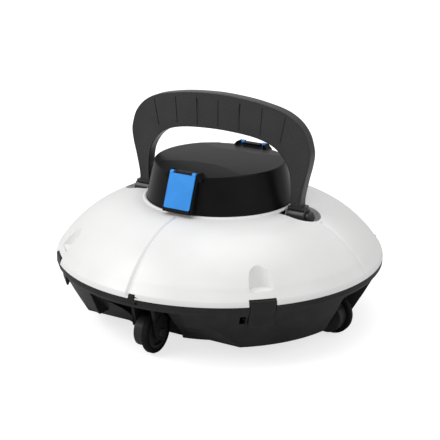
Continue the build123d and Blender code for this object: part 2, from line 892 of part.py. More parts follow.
def wheel_core():
    core = rod_x(drum_radius, drum_low_x, tyre_low_x + 1, 0, 0)
    core += rod_x(tyre_inner_radius, tyre_low_x, tyre_high_x, 0, 0)
    dish = rod_x(14.0, tyre_high_x - 3.0, tyre_high_x + 1, 0, 0)
    core -= dish
    core += rod_x(6.0, -fork_gap + 0.3, fork_gap - 0.3, 0, 0)
    for k in range(4):
        groove = slab(drum_low_x - 1, tyre_low_x, -0.9, 0.9, drum_radius - 1.2, drum_radius + 2)
        core -= Rot(90 * k + 52, 0, 0) * groove
    core -= rod_x(axle_radius + 0.06, -20, 20, 0, 0)
    return Pos(0, -wheel_distance, wheel_radius) * core


def wheel_tyre():
    shoulder = wheel_radius - 1.6
    tread = revolve(
        make_face(
            Polyline(
                (tyre_low_x, 0, tyre_inner_radius),
                (tyre_low_x, 0, shoulder),
                (tyre_low_x + 1.6, 0, wheel_radius),
                (tyre_high_x - 1.6, 0, wheel_radius),
                (tyre_high_x, 0, shoulder),
                (tyre_high_x, 0, tyre_inner_radius),
                close=True,
            )
        ),
        Axis.X,
    )
    return Pos(0, -wheel_distance, wheel_radius) * tread


def wheel_axle():
    face = fork_gap + fork_thickness
    stem = rod_x(axle_radius, -face, face, -wheel_distance, wheel_radius)
    caps = rod_x(4.6, face, face + 1.5, -wheel_distance, wheel_radius)
    caps += rod_x(4.6, -face - 1.5, -face, -wheel_distance, wheel_radius)
    return stem + caps


def save(name, shape):
    export_step(shape, "parts/" + name + ".step")


def main():
    os.makedirs("parts", exist_ok=True)
    save("upper_dome", upper_dome())
    save("hub_cover", hub_cover())
    save("handle", handle())
    save("base_shell", base_shell())
    save("bottom_plate", bottom_plate())
    save("plate_screws", plate_screws())
    save("filter_frame", filter_frame())
    save("filter_mesh", filter_mesh())
    save("pump_deck", pump_deck())
    save("pod_case", pod_case())
    save("pod_seal", pod_seal())
    save("battery_cells", battery_cells())
    save("battery_holder", battery_holder())
    save("control_board", control_board())
    save("hub_screws", hub_screws())
    save("control_panel", control_panel())
    save("power_button", power_button())
    save("status_lens", status_lens())
    pieces = {
        "outlet_flap": outlet_flap(),
        "flap_pin": flap_pin(),
        "outlet_duct": outlet_duct(),
        "impeller": impeller(),
        "motor_shaft": motor_shaft(),
        "pump_motor": pump_motor(),
    }
    for name, piece in pieces.items():
        save(name + "_front", piece)
        save(name + "_rear", Rot(0, 0, 180) * piece)
    save("handle_pin_right", handle_pin(True))
    save("handle_pin_left", Rot(0, 0, 180) * handle_pin(False))
    sides = {
        "inlet_flap": inlet_flap(),
        "inlet_pin": inlet_pin(),
    }
    for name, piece in sides.items():
        save(name + "_right", piece)
        save(name + "_left", Rot(0, 0, 180) * piece)
    wheel_parts = {
        "wheel": wheel_core(),
        "tyre": wheel_tyre(),
        "axle": wheel_axle(),
    }
    for place_name, place in wheel_places().items():
        for name, piece in wheel_parts.items():
            save(name + "_" + place_name, place * piece)
    clip = rim_clip()
    corners = {
        "front_right": 315,
        "rear_right": 45,
        "rear_left": 135,
        "front_left": 225,
    }
    for corner, angle in corners.items():
        save("rim_clip_" + corner, Rot(0, 0, angle) * clip)


if __name__ == "__main__":
    main()
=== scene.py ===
import json
from math import copysign, cos, hypot, pi, radians, sin, tan

import bpy
import bmesh
from mathutils import Matrix, Vector


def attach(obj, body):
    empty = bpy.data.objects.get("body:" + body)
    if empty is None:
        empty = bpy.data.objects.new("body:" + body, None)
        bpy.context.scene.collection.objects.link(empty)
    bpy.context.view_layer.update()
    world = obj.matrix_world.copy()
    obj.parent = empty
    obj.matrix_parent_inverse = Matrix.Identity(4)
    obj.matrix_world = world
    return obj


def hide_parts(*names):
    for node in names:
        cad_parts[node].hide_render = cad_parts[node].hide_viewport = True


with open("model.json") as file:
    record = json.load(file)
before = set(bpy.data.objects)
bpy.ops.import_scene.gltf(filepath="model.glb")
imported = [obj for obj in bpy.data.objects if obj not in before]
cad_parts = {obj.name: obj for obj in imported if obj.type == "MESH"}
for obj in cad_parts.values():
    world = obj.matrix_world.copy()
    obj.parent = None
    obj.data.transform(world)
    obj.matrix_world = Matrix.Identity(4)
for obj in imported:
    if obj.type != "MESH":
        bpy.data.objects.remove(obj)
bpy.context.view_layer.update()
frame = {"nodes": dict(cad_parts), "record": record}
print("frame loaded:", len(frame["nodes"]), "nodes")


# camera, at the photograph's angle
cameraSettings = {
    "target": (0.0, 0.0, 0.1046),
    "distance": 1.45,
    "azimuth": 31.0,
    "elevation": 18.05,
    "roll": 0.42,
    "lens": 107.64,
    "sensor": 36.0,
    "clipEnd": 50.0,
}


def addCamera(s):
    az, el = radians(s["azimuth"]), radians(s["elevation"])
    away = Vector((sin(az) * cos(el), -cos(az) * cos(el), sin(el)))
    bpy.ops.object.camera_add(location=Vector(s["target"]) + away * s["distance"])
    camera = bpy.context.object
    turn = Matrix.Rotation(az, 3, "Z") @ Matrix.Rotation(pi / 2 - el, 3, "X")
    turn = turn @ Matrix.Rotation(radians(s["roll"]), 3, "Z")
    camera.rotation_euler = turn.to_euler()
    camera.data.lens = s["lens"]
    camera.data.sensor_width = s["sensor"]
    camera.data.clip_end = s["clipEnd"]
    bpy.context.scene.camera = camera


addCamera(cameraSettings)
bpy.context.scene.view_settings.view_transform = "Standard"

# studio: soft panels, white floor and white surroundings
lampSettings = [
    {"name": "keyPanel", "at": (-1.4, -1.5, 1.8), "size": 1.5, "power": 31.0},
    {"name": "topPanel", "at": (0.2, 0.3, 2.4), "size": 1.8, "power": 16.0},
    {"name": "sidePanel", "at": (2.0, -0.6, 1.0), "size": 1.4, "power": 4.0},
]
studio = {
    "lampAim": (0.0, 0.0, 0.1), "worldGrey": 0.55,
    "floorSize": 14.0, "floorGlow": 0.72, "floorSeen": 0.58, "floorBounce": 0.66, "floorRough": 0.9,
}


def addLamps(lamps, target):
    for lamp in lamps:
        bpy.ops.object.light_add(type="AREA", location=lamp["at"])
        light = bpy.context.object
        light.name = lamp["name"]
        light.data.size = lamp["size"]
        light.data.energy = lamp["power"]
        aim = Vector(target) - Vector(lamp["at"])
        light.rotation_euler = aim.to_track_quat("-Z", "Y").to_euler()


# one grey for what the camera sees directly, another for all other light
def greyByRay(nodes, links, ray, other, seen):
    tone = nodes.new("ShaderNodeMix")
    tone.data_type = "RGBA"
    tone.inputs["A"].default_value = (other, other, other, 1.0)
    tone.inputs["B"].default_value = (seen, seen, seen, 1.0)
    links.new(ray, tone.inputs["Factor"])
    return tone.outputs["Result"]


def addWorld(s):
    world = bpy.data.worlds.new("studioWorld")
    world.use_nodes = True
    bpy.context.scene.world = world
    nodes, links = world.node_tree.nodes, world.node_tree.links
    ray = nodes.new("ShaderNodeLightPath").outputs["Is Camera Ray"]
    links.new(greyByRay(nodes, links, ray, s["worldGrey"], 1.0), nodes["Background"].inputs["Color"])


def addFloor(s):
    bpy.ops.object.select_all(action="DESELECT")
    bpy.ops.mesh.primitive_plane_add(size=s["floorSize"])
    floor = bpy.context.object
    floor.name = "studioFloor"
    paint = bpy.data.materials.new("floorWhite")
    paint.use_nodes = True
    nodes, links = paint.node_tree.nodes, paint.node_tree.links
    shader = nodes["Principled BSDF"]
    ray = nodes.new("ShaderNodeLightPath").outputs["Is Camera Ray"]
    tone = greyByRay(nodes, links, ray, s["floorBounce"], s["floorSeen"])
    links.new(tone, shader.inputs["Base Color"])
    shader.inputs["Roughness"].default_value = s["floorRough"]
    shader.inputs["Specular IOR Level"].default_value = 0.0
    shader.inputs["Emission Color"].default_value = (1.0, 1.0, 1.0, 1.0)
    glow = nodes.new("ShaderNodeMath")
    glow.operation = "MULTIPLY"
    glow.inputs[1].default_value = s["floorGlow"]
    links.new(ray, glow.inputs[0])
    links.new(glow.outputs[0], shader.inputs["Emission Strength"])
    floor.data.materials.append(paint)


addLamps(lampSettings, studio["lampAim"])
addWorld(studio)
addFloor(studio)
print("camera, lamps and floor set")

# finishes: colour, roughness and fine surface of each moulding
finishes = {
    "shell_white": {
        "colour": (0.86, 0.86, 0.855), "shade": (0.80, 0.80, 0.795), "rough": (0.30, 0.38),
        "cloud": 14.0, "grain": 2600.0, "bump": 0.000012,
    },
    "base_black": {
        "colour": (0.013, 0.013, 0.014), "shade": (0.022, 0.022, 0.024), "rough": (0.42, 0.58),
        "cloud": 40.0, "grain": 1900.0, "bump": 0.00004, "gloss": 0.20,
    },
    "hub_black": {
        "colour": (0.004, 0.004, 0.0045), "shade": (0.007, 0.007, 0.008), "rough": (0.28, 0.38),
        "cloud": 30.0, "grain": 2200.0, "bump": 0.00002, "gloss": 0.11,
    },
    "handle_grey": {
        "colour": (0.019, 0.019, 0.021), "shade": (0.026, 0.026, 0.028), "rough": (0.24, 0.32),
        "cloud": 45.0, "grain": 2000.0, "bump": 0.00002, "gloss": 0.42,
    },
    "flap_blue": {
        "colour": (0.030, 0.300, 0.840), "shade": (0.025, 0.260, 0.760), "rough": (0.32, 0.42),
        "cloud": 60.0, "grain": 2400.0, "bump": 0.00002, "gloss": 0.30,
    },
    "tyre_rubber": {
        "colour": (0.004, 0.004, 0.004), "shade": (0.008, 0.008, 0.008), "rough": (0.50, 0.65),
        "cloud": 90.0, "grain": 1500.0, "bump": 0.00006, "gloss": 0.12,
    },
    "wheel_black": {
        "colour": (0.020, 0.020, 0.021), "shade": (0.030, 0.030, 0.032), "rough": (0.38, 0.50),
        "cloud": 70.0, "grain": 2000.0, "bump": 0.00003, "gloss": 0.26,
    },
    "steel": {
        "colour": (0.60, 0.60, 0.61), "shade": (0.48, 0.48, 0.49), "rough": (0.22, 0.34),
        "cloud": 300.0, "grain": 3000.0, "bump": 0.00002, "metal": 1.0,
    },
    "filter_grey": {
        "colour": (0.33, 0.34, 0.35), "shade": (0.28, 0.29, 0.30), "rough": (0.45, 0.55),
        "cloud": 40.0, "grain": 2000.0, "bump": 0.00003,
    },
    "mesh_fabric": {
        "colour": (0.76, 0.77, 0.76), "shade": (0.60, 0.61, 0.60), "rough": (0.75, 0.90),
        "cloud": 25.0, "weave": 2600.0, "bump": 0.00015,
    },
    "seal_rubber": {
        "colour": (0.07, 0.07, 0.07), "shade": (0.10, 0.10, 0.10), "rough": (0.60, 0.75),
        "cloud": 60.0, "grain": 1500.0, "bump": 0.00004,
    },
    "pod_grey": {
        "colour": (0.10, 0.10, 0.11), "shade": (0.13, 0.13, 0.14), "rough": (0.45, 0.58),
        "cloud": 40.0, "grain": 1800.0, "bump": 0.00004,
    },
    "motor_can": {
        "colour": (0.50, 0.51, 0.52), "shade": (0.40, 0.41, 0.43), "rough": (0.26, 0.38),
        "cloud": 120.0, "grain": 2500.0, "bump": 0.00002, "metal": 1.0,
    },
    "cell_wrap": {
        "colour": (0.06, 0.26, 0.16), "shade": (0.05, 0.21, 0.13), "rough": (0.24, 0.34),
        "cloud": 60.0, "grain": 1800.0, "bump": 0.00002,
    },
    "board_green": {
        "colour": (0.02, 0.15, 0.06), "shade": (0.03, 0.19, 0.08), "rough": (0.30, 0.42),
        "cloud": 350.0, "weave": 1400.0, "bump": 0.00003,
    },
    "impeller_grey": {
        "colour": (0.52, 0.53, 0.54), "shade": (0.46, 0.47, 0.48), "rough": (0.38, 0.48),
        "cloud": 50.0, "grain": 2000.0, "bump": 0.00002,
    },
    "button_grey": {
        "colour": (0.16, 0.16, 0.17), "shade": (0.20, 0.20, 0.21), "rough": (0.55, 0.68),
        "cloud": 80.0, "grain": 1800.0, "bump": 0.00003,
    },
    "lens_clear": {
        "colour": (0.50, 0.70, 0.80), "shade": (0.58, 0.76, 0.85), "rough": (0.25, 0.35),
        "cloud": 200.0, "grain": 2500.0, "bump": 0.00001,
    },
}


def noiseNode(nodes, links, place, scale, detail):
    noise = nodes.new("ShaderNodeTexNoise")
    noise.inputs["Scale"].default_value = scale
    noise.inputs["Detail"].default_value = detail
    links.new(place, noise.inputs["Vector"])
    return noise.outputs["Fac"]


def waveNode(nodes, links, place, scale, axis):
    wave = nodes.new("ShaderNodeTexWave")
    wave.bands_direction = axis
    wave.inputs["Scale"].default_value = scale / 20.0  # the node multiplies by 20
    links.new(place, wave.inputs["Vector"])
    return wave.outputs["Fac"]


def ranged(nodes, links, value, low, high):
    span = nodes.new("ShaderNodeMapRange")  # noise seldom leaves 0.3 to 0.7
    span.inputs["From Min"].default_value = 0.3
    span.inputs["From Max"].default_value = 0.7
    span.inputs["To Min"].default_value = low
    span.inputs["To Max"].default_value = high
    links.new(value, span.inputs["Value"])
    return span.outputs["Result"]


def makeFinish(name, s):
    paint = bpy.data.materials.new(name)
    paint.use_nodes = True
    nodes, links = paint.node_tree.nodes, paint.node_tree.links
    shader = nodes["Principled BSDF"]
    place = nodes.new("ShaderNodeTexCoord").outputs["Object"]
    cloud = noiseNode(nodes, links, place, s["cloud"], 3.0)
    tint = nodes.new("ShaderNodeMix")
    tint.data_type = "RGBA"
    tint.inputs["A"].default_value = (*s["colour"], 1.0)
    tint.inputs["B"].default_value = (*s["shade"], 1.0)
    links.new(ranged(nodes, links, cloud, 0.0, 1.0), tint.inputs["Factor"])
    links.new(tint.outputs["Result"], shader.inputs["Base Color"])
    if "weave" in s:
        across = waveNode(nodes, links, place, s["weave"], "X")
        along = waveNode(nodes, links, place, s["weave"], "Y")
        both = nodes.new("ShaderNodeMath")
        both.operation = "MAXIMUM"
        links.new(across, both.inputs[0])
        links.new(along, both.inputs[1])
        height = both.outputs[0]
    else:
        height = noiseNode(nodes, links, place, s["grain"], 2.0)
    links.new(ranged(nodes, links, height, *s["rough"]), shader.inputs["Roughness"])
    bump = nodes.new("ShaderNodeBump")
    bump.inputs["Distance"].default_value = s["bump"]
    links.new(height, bump.inputs["Height"])
    links.new(bump.outputs["Normal"], shader.inputs["Normal"])
    shader.inputs["Metallic"].default_value = s.get("metal", 0.0)
    shader.inputs["Specular IOR Level"].default_value = s.get("gloss", 0.5)
    return paint


paints = {slot: makeFinish(slot + "_finish", s) for slot, s in finishes.items()}
slotOf = {row["node"]: row["material_slot"] for row in frame["record"]["subparts"]}
for nodeName, slot in slotOf.items():
    cadMesh = frame["nodes"][nodeName].data
    cadMesh.materials.clear()
    cadMesh.materials.append(paints[slot])
print("finishes on", len(slotOf), "nodes")

# modelling moves shared by the pieces
diagonals = (45, 135, 225, 315)
quarters = (0, 90, 180, 270)
halves = (0, 180)
crosswise = (90, 270)


def deselect():
    if bpy.context.mode != "OBJECT":
        bpy.ops.object.mode_set(mode="OBJECT")
    bpy.ops.object.select_all(action="DESELECT")


def only(obj):
    deselect()
    obj.select_set(True)
    bpy.context.view_layer.objects.active = obj


def editing(obj, selectMode="VERT"):
    only(obj)
    bpy.ops.object.mode_set(mode="EDIT")
    bpy.ops.mesh.select_mode(type=selectMode)


def pickEdges(obj, test):
    editing(obj, "EDGE")
    bpy.ops.mesh.select_all(action="DESELECT")
    mesh = bmesh.from_edit_mesh(obj.data)
    for edge in mesh.edges:
        edge.select_set(test(edge.verts[0].co, edge.verts[1].co))
    bmesh.update_edit_mesh(obj.data)


def pickFaces(obj, test):
    editing(obj, "FACE")
    bpy.ops.mesh.select_all(action="DESELECT")
    mesh = bmesh.from_edit_mesh(obj.data)
    for face in mesh.faces:
        face.select_set(test(face.calc_center_median(), face.normal))
    bmesh.update_edit_mesh(obj.data)


def roundEdges(obj, test, width, segments):
    pickEdges(obj, test)
    bpy.ops.mesh.bevel(offset=width, segments=segments, affect="EDGES", clamp_overlap=True)
    bpy.ops.object.mode_set(mode="OBJECT")


def modify(obj, kind, **settings):
    only(obj)
    modifier = obj.modifiers.new(kind.lower(), kind)
    for key, value in settings.items():
        setattr(modifier, key, value)
    bpy.ops.object.modifier_apply(modifier=modifier.name)


def joined(pieces):
    deselect()
    for piece in pieces:
        piece.select_set(True)
    bpy.context.view_layer.objects.active = pieces[0]
    if len(pieces) > 1:
        bpy.ops.object.join()
    return bpy.context.view_layer.objects.active


def combine(obj, operation, tools):
    tool = joined(tools)
    modify(obj, "BOOLEAN", operation=operation, object=tool, solver="EXACT")
    bpy.data.objects.remove(tool)


def copyOf(obj, name):
    twin = obj.copy()
    twin.data = obj.data.copy()
    twin.name = name
    bpy.context.scene.collection.objects.link(twin)
    return twin


def turnedCopy(obj, degrees, name="tool"):
    twin = copyOf(obj, name)
    twin.data.transform(Matrix.Rotation(radians(degrees), 4, "Z"))
    return twin


def soften(obj, width, segments=2, angle=32.0, weld=0.00004, slide=True):
    editing(obj)
    bpy.ops.mesh.select_all(action="SELECT")
    bpy.ops.mesh.remove_doubles(threshold=weld)
    bpy.ops.mesh.dissolve_degenerate(threshold=0.00001)
    bpy.ops.mesh.delete_loose()
    bpy.ops.mesh.select_all(action="SELECT")
    bpy.ops.mesh.fill_holes(sides=16)
    bpy.ops.object.mode_set(mode="OBJECT")
    modify(
        obj, "BEVEL", width=width, segments=segments, limit_method="ANGLE",
        angle_limit=radians(angle), use_clamp_overlap=False, loop_slide=slide, miter_outer="MITER_ARC",
    )
    smoothShade(obj)


def smoothShade(obj, angle=40.0):
    only(obj)
    bpy.ops.object.shade_smooth_by_angle(angle=radians(angle))
    modify(obj, "WEIGHTED_NORMAL", weight=60, keep_sharp=True)


def block(low, high):
    deselect()
    middle = [(a + b) / 2 for a, b in zip(low, high)]
    bpy.ops.mesh.primitive_cube_add(size=1.0, location=middle)
    piece = bpy.context.object
    piece.scale = [b - a for a, b in zip(low, high)]
    bpy.ops.object.transform_apply(location=True, rotation=True, scale=True)
    return piece


def rod(radius, start, end, axis="Z", at=(0.0, 0.0), sides=64):
    deselect()
    middle, depth = (start + end) / 2, end - start
    place = {"X": (middle, at[0], at[1]), "Y": (at[0], middle, at[1]), "Z": (at[0], at[1], middle)}
    turn = {"X": (0, pi / 2, 0), "Y": (pi / 2, 0, 0), "Z": (0, 0, 0)}
    bpy.ops.mesh.primitive_cylinder_add(
        vertices=sides, radius=radius, depth=depth, location=place[axis], rotation=turn[axis]
    )
    bpy.ops.object.transform_apply(location=True, rotation=True, scale=True)
    return bpy.context.object


def smoothLine(points, steps):
    ends = [points[0]] + points + [points[-1]]
    line = []
    for i in range(1, len(ends) - 2):
        p0, p1, p2, p3 = (Vector(p) for p in ends[i - 1:i + 3])
        for k in range(steps):
            t = k / steps
            bend = (2 * p0 - 5 * p1 + 4 * p2 - p3) * t * t + (3 * p1 - p0 - 3 * p2 + p3) * t ** 3
            line.append(tuple((2 * p1 + (p2 - p0) * t + bend) / 2))
    return line + [tuple(points[-1])]


def drawnLine(name, points):
    deselect()
    bpy.ops.mesh.primitive_plane_add(size=0.01)
    piece = bpy.context.object
    piece.name = name
    bpy.ops.object.mode_set(mode="EDIT")
    bpy.ops.mesh.select_mode(type="VERT")
    bpy.ops.mesh.select_all(action="SELECT")
    bpy.ops.mesh.merge(type="CENTER")
    bpy.ops.transform.translate(value=points[0])
    for here, there in zip(points, points[1:]):
        step = Vector(there) - Vector(here)
        bpy.ops.mesh.extrude_vertices_move(TRANSFORM_OT_translate={"value": step})
    return piece


def lathe(name, outline, steps, axis="Z", centre=(0.0, 0.0, 0.0)):
    flip = {"Z": lambda r, z: (r, 0.0, z), "X": lambda r, z: (z, 0.0, r)}[axis]
    middle = Vector(centre)
    points = [middle + Vector(flip(r, z)) for r, z in outline]
    piece = drawnLine(name, points + points[:1])
    bpy.ops.mesh.select_all(action="SELECT")
    bpy.ops.mesh.remove_doubles(threshold=0.000001)
    spinAxis = (0, 0, 1) if axis == "Z" else (1, 0, 0)
    bpy.ops.mesh.spin(steps=steps, angle=2 * pi, center=centre, axis=spinAxis)
    bpy.ops.mesh.select_all(action="SELECT")
    bpy.ops.mesh.remove_doubles(threshold=0.000002)
    bpy.ops.mesh.delete_loose()
    bpy.ops.mesh.select_all(action="SELECT")
    bpy.ops.mesh.normals_make_consistent(inside=False)
    bpy.ops.object.mode_set(mode="OBJECT")
    return piece


def prism(name, points, depth):
    piece = drawnLine(name, points)
    bpy.ops.mesh.select_all(action="SELECT")
    bpy.ops.mesh.edge_face_add()
    bpy.ops.mesh.extrude_region_move(TRANSFORM_OT_translate={"value": depth})
    bpy.ops.mesh.select_all(action="SELECT")
    bpy.ops.mesh.normals_make_consistent(inside=False)
    bpy.ops.object.mode_set(mode="OBJECT")
    return piece


def dress(obj, slot, body, *nodes):
    obj.data.materials.clear()
    obj.data.materials.append(paints[slot])
    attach(obj, body)
    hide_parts(*nodes)
    print(obj.name, len(obj.data.polygons), "faces")


def inset(points, distance):
    moved = []
    for i, (r, z) in enumerate(points):
        before, after = points[max(i - 1, 0)], points[min(i + 1, len(points) - 1)]
        run, fall = after[0] - before[0], after[1] - before[1]
        length = hypot(run, fall)
        moved.append((r + fall / length * distance, z - run / length * distance))
    return moved


def around(tool, angles=diagonals):
    twins = [turnedCopy(tool, a) for a in angles]
    bpy.data.objects.remove(tool)
    return twins


def tabBlock(corners, radius):
    piece = block(*corners)
    top = corners[1][2] - 0.0001
    roundEdges(piece, lambda a, b: min(a.z, b.z) > top and abs(a.x - b.x) > 0.001, radius, 4)
    return piece


# white dome: soft creases, handle pockets, finger scoops and clip notches
dome = {
    "outline": [
        (0.0842, 0.1329), (0.100, 0.1314), (0.120, 0.1260), (0.140, 0.1156),
        (0.155, 0.1042), (0.168, 0.0910), (0.1732, 0.0842), (0.1786, 0.0770),
    ],
    "lip": [(0.1794, 0.0745), (0.1800, 0.0720)],
    "neck": [(0.0834, 0.1122), (0.0770, 0.1122), (0.0770, 0.1245), (0.0650, 0.1245), (0.0650, 0.1279)],
    "collar": [
        (0.0770, 0.1279), (0.0770, 0.1328), (0.0810, 0.1328), (0.0810, 0.1342), (0.0834, 0.1342),
    ],
    "wall": 0.003, "steps": 360, "edge": 0.0006, "bottom": 0.0720, "innerFoot": 0.1770, "innerTop": 0.0836,
    "creaseDeep": 0.0022, "creaseFrom": 0.088,
    "linerX": (0.0810, 0.1240), "linerTop": 0.140,
    "pocketX": (0.0840, 0.1210), "pocketHalf": 0.021, "pocketFloor": 0.1135, "pocketOpen": 0.150,
    "pocketRound": 0.0025,
    "pivot": 0.1265, "boss": 0.0054, "bossX": (0.0814, 0.0862),
    "pinHole": 0.0040, "pinHoleX": (0.0771, 0.0900),
    "finger": 0.012, "fingerX": (0.153, 0.230), "fingerZ": (0.040, 0.160), "fingerTop": 0.1060,
    "fingerLean": 17.0, "fingerRoof": 0.125, "ledge": 0.085, "scoopX": (0.130, 0.205), "scoopHalf": 0.030,
    "scoopLinerX": 0.190, "backX": (0.1635, 0.1668), "backHalf": 0.0175, "backLow": 0.0722,
    "notch": ((0.1671, -0.0141, 0.0650), (0.1900, 0.0141, 0.0788)),
    "catch": ((0.1660, -0.0090, 0.0730), (0.1712, 0.0090, 0.0754)),
    "tabRoom": ((0.1700, 0.0006, 0.0650), (0.1900, 0.0088, 0.0768)), "tabRound": 0.0015,
}


def stadium(half, low, high, nearX, farX, roundNear=False):
    piece = block((nearX, -half, low), (farX, half, high))
    end = nearX if roundNear else farX
    roundEdges(
        piece, lambda a, b: abs(a.z - b.z) > 0.001 and abs(a.x - end) + abs(b.x - end) < 0.0002,
        half * 0.998, 24,  # a little under half, so that the two rounds don't meet
    )
    return piece


def pressCreases(obj, s):
    editing(obj)
    bpy.ops.mesh.select_all(action="DESELECT")
    mesh = bmesh.from_edit_mesh(obj.data)
    for v in mesh.verts:
        away = Vector((v.co.x, v.co.y, 0.0))
        facing = v.normal.dot(away.normalized() + Vector((0, 0, 1)))
        onSeam = min(abs(v.co.x), abs(v.co.y)) < 0.0002
        v.select_set(onSeam and away.length > s["creaseFrom"] and facing > 0.3)
    bmesh.update_edit_mesh(obj.data)
    bpy.ops.transform.shrink_fatten(value=-s["creaseDeep"])
    bpy.ops.object.mode_set(mode="OBJECT")


# walls behind the pockets, the scoops and the clip notches
def addLinings(piece, outer, s):
    wall = s["wall"]
    filled = lathe("tool", [(0.0, outer[0][1])] + outer + s["lip"] + [(0.0, s["bottom"])], s["steps"])
    pocket = stadium(s["pocketHalf"] + wall, s["pocketFloor"] - wall, s["linerTop"], *s["linerX"])
    liners = around(pocket, halves)
    scoop = stadium(
        s["finger"] + wall, s["ledge"] - wall, s["fingerRoof"],
        s["fingerX"][0] - wall, s["scoopLinerX"], True,
    )
    lining = joined(liners + around(scoop))
    combine(lining, "INTERSECT", [filled])
    combine(piece, "UNION", [lining])
    near, far = s["backX"]
    back = block((near, -s["backHalf"], s["backLow"]), (far, s["backHalf"], s["ledge"] - 0.001))
    combine(piece, "UNION", around(back))


def cutPockets(piece, s):
    floor = s["pocketFloor"]
    pocket = stadium(s["pocketHalf"], floor, s["pocketOpen"], *s["pocketX"])
    roundEdges(pocket, lambda a, b: max(a.z, b.z) < floor + 0.0001, s["pocketRound"], 3)
    combine(piece, "DIFFERENCE", around(pocket, halves))
    boss = rod(s["boss"], *s["bossX"], "X", (0.0, s["pivot"]))
    combine(piece, "UNION", around(boss, halves))


def cutScoops(piece, s):
    finger = stadium(s["finger"], *s["fingerZ"], *s["fingerX"], True)
    top = Vector((s["fingerX"][0], 0.0, s["fingerTop"]))
    lean = Matrix.Rotation(radians(-s["fingerLean"]), 4, "Y")
    finger.data.transform(Matrix.Translation(top) @ lean @ Matrix.Translation(-top))
    (near, far), half = s["scoopX"], s["scoopHalf"]
    combine(finger, "INTERSECT", [block((near, -half, s["ledge"]), (far, half, s["fingerRoof"]))])
    combine(piece, "DIFFERENCE", around(finger))


def buildDome(s):
    outer = smoothLine(s["outline"], 5)
    under = inset(outer, s["wall"])[::-1]
    inner = [(s["innerFoot"], s["bottom"])] + [p for p in under if p[0] > s["innerTop"]]
    piece = lathe("domeShell", outer + s["lip"] + inner + s["neck"] + s["collar"], s["steps"])
    pressCreases(piece, s)
    addLinings(piece, outer, s)
    cutPockets(piece, s)
    cutScoops(piece, s)
    combine(piece, "DIFFERENCE", around(block(*s["notch"])))
    combine(piece, "UNION", around(block(*s["catch"])))
    pinHole = rod(s["pinHole"], *s["pinHoleX"], "X", (0.0, s["pivot"]))
    combine(piece, "DIFFERENCE", around(pinHole, halves))
    combine(piece, "DIFFERENCE", around(tabBlock(s["tabRoom"], s["tabRound"]), crosswise))
    soften(piece, s["edge"], slide=False)
    dress(piece, "shell_white", "cleaner", "upper_dome")


buildDome(dome)

# dark grey carrying arch
arch = {
    "outer": [
        (0.1035, 0.126), (0.1020, 0.143), (0.1062, 0.165), (0.1100, 0.180), (0.1120, 0.193),
        (0.1110, 0.202), (0.1068, 0.2150), (0.0985, 0.2260), (0.0875, 0.2338), (0.0750, 0.2388),
        (0.0565, 0.2428), (0.0340, 0.2459), (0.0, 0.2477),
    ],
    "inner": [
        (0.0890, 0.126), (0.0900, 0.143), (0.0898, 0.158), (0.0876, 0.174), (0.0815, 0.1862),
        (0.0738, 0.1945), (0.0640, 0.2004), (0.0495, 0.2047), (0.0300, 0.2072), (0.0, 0.2084),
    ],
    "thick": 0.013, "points": 121, "edge": 0.0015, "rim": 0.0030, "sunk": 0.0008, "softEdge": 0.0003,
    "pivot": 0.1265, "barrel": 0.0096, "barrelX": (0.0865, 0.1080), "barrelRound": 0.0014,
    "foot": ((0.0870, -0.0080, 0.1344), (0.1060, 0.0080, 0.1374)), "footRound": 0.0025,
    "bore": 0.00406, "boreX": (0.0800, 0.1200), "seat": 0.0070, "seatX": (0.1052, 0.1200),
    "gripAt": [-0.079, -0.053, -0.0265, 0.0, 0.0265, 0.053, 0.079], "gripHalf": (0.0005, 0.0009, 0.0145),
    "gripZ": 0.2265, "gripFall": 0.05, "gripTurn": 90.0,
    "bendFrom": 0.06, "bendTurn": 12.0, "bendDrop": 0.0045,
}


def evenLine(points, count):
    fine = [Vector(p) for p in smoothLine(points, 12)]
    runs = [0.0]
    for a, b in zip(fine, fine[1:]):
        runs.append(runs[-1] + (b - a).length)
    line, i = [], 0
    for k in range(count):
        want = runs[-1] * k / (count - 1)
        while i < len(fine) - 2 and runs[i + 1] < want:
            i += 1
        share = (want - runs[i]) / (runs[i + 1] - runs[i])
        line.append(fine[i].lerp(fine[i + 1], share))
    return line


def archBand(s):
    rails = []
    for side in ("outer", "inner"):
        half = s[side]
        whole = half + [(-x, z) for x, z in half[-2::-1]]
        line = evenLine(whole, s["points"])
        rails.append(drawnLine("carryArch", [(p[0], -s["thick"] / 2, p[1]) for p in line]))
        bpy.ops.object.mode_set(mode="OBJECT")
    piece = joined(rails)
    piece.name = "carryArch"
    editing(piece, "EDGE")
    bpy.ops.mesh.select_all(action="SELECT")
    bpy.ops.mesh.bridge_edge_loops()
    bpy.ops.mesh.select_all(action="SELECT")
    bpy.ops.mesh.extrude_region_move(TRANSFORM_OT_translate={"value": (0, s["thick"], 0)})
    bpy.ops.mesh.select_all(action="SELECT")
    bpy.ops.mesh.normals_make_consistent(inside=False)
    bpy.ops.object.mode_set(mode="OBJECT")
    pickFaces(piece, lambda middle, normal: abs(normal.y) > 0.9)
    bpy.ops.mesh.inset(thickness=s["rim"], depth=-s["sunk"])
    bpy.ops.object.mode_set(mode="OBJECT")
    roundEdges(piece, lambda a, b: min(abs(a.y), abs(b.y)) > s["thick"] / 2 - 0.0001, s["edge"], 4)
    return piece


def gripLines(s):
    wide, deep, tall = s["gripHalf"]
    lines = []
    for x in s["gripAt"]:
        bent = abs(x) > s["bendFrom"]
        lean = copysign(s["bendTurn"], x) if bent else x * s["gripTurn"]
        height = s["gripZ"] - abs(x) * s["gripFall"] - (s["bendDrop"] if bent else 0.0)
        for side in (1, -1):
            y = side * (s["thick"] / 2 - s["sunk"])
            line = block((-wide, y - deep, -tall), (wide, y + deep, tall))
            line.data.transform(Matrix.Translation((x, 0, height)) @ Matrix.Rotation(radians(lean), 4, "Y"))
            lines.append(line)
    return lines


